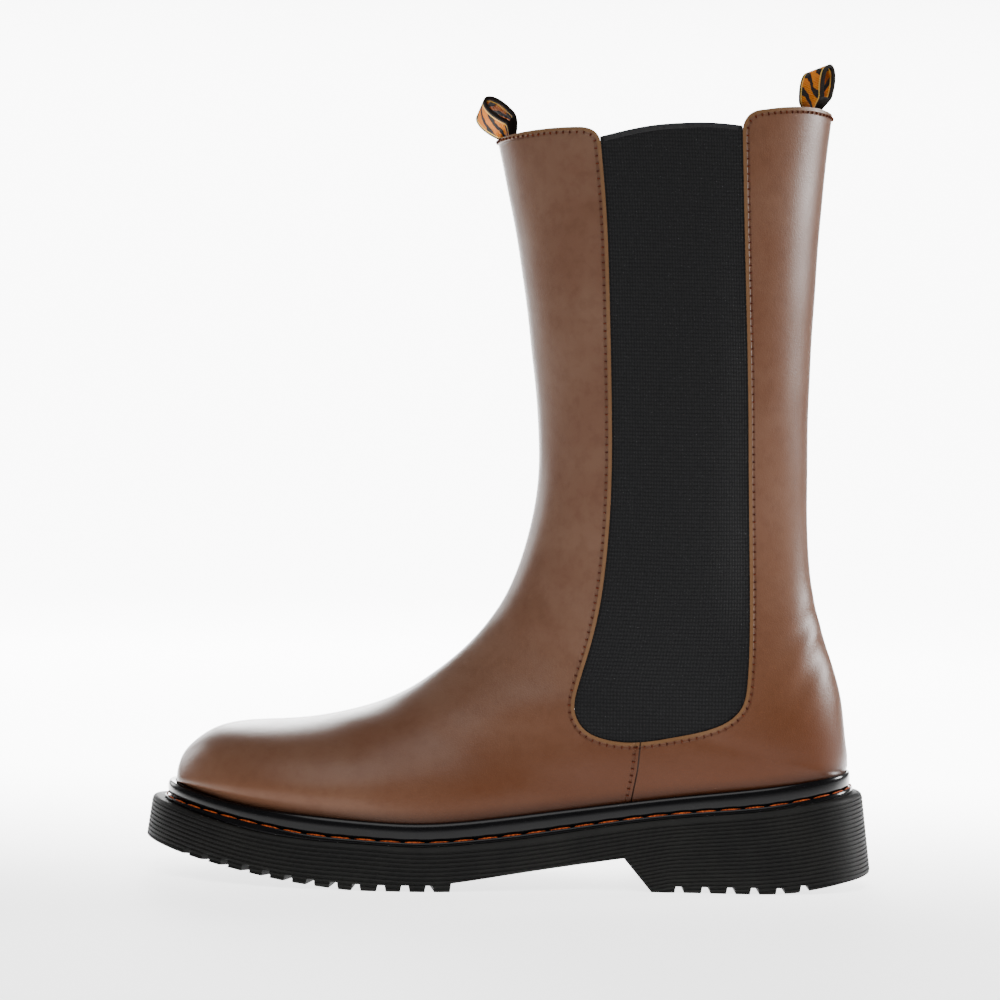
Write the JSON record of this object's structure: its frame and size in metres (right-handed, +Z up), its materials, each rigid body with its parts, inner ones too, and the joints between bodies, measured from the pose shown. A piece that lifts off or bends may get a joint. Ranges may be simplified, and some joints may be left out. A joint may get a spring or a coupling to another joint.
{
  "type": "mid-calf chelsea boot",
  "caption": "Left mid-calf pull-on boot in smooth leather with elastic side gores, tape pull loops, a stitched welt and a ribbed cleated rubber sole with a block heel.",
  "frame": {"origin": "on the floor, under the middle of the boot's bounding box", "axes": "+Z up out of the collar, toe to -X and heel to +X, the outer (lateral) side to -Y and the inner (medial) side to +Y"},
  "size_m": [0.2758, 0.1044, 0.3118],
  "materials": {
    "leather": "smooth, waxed, softly glossy",
    "elastic": "black ribbed elastic knit",
    "rubber": "matt, ribbed",
    "welt_rubber": "glossy",
    "footbed": "matt",
    "tape": "woven, yellow with black stripes"
  },
  "bodies": {
    "root": {"upper": "leather", "gore_lateral": "elastic", "gore_medial": "elastic", "outsole": "rubber", "welt": "welt_rubber", "insole": "footbed", "pull_loop_front": "tape", "pull_loop_back": "tape"}
  },
  "joints": []
}
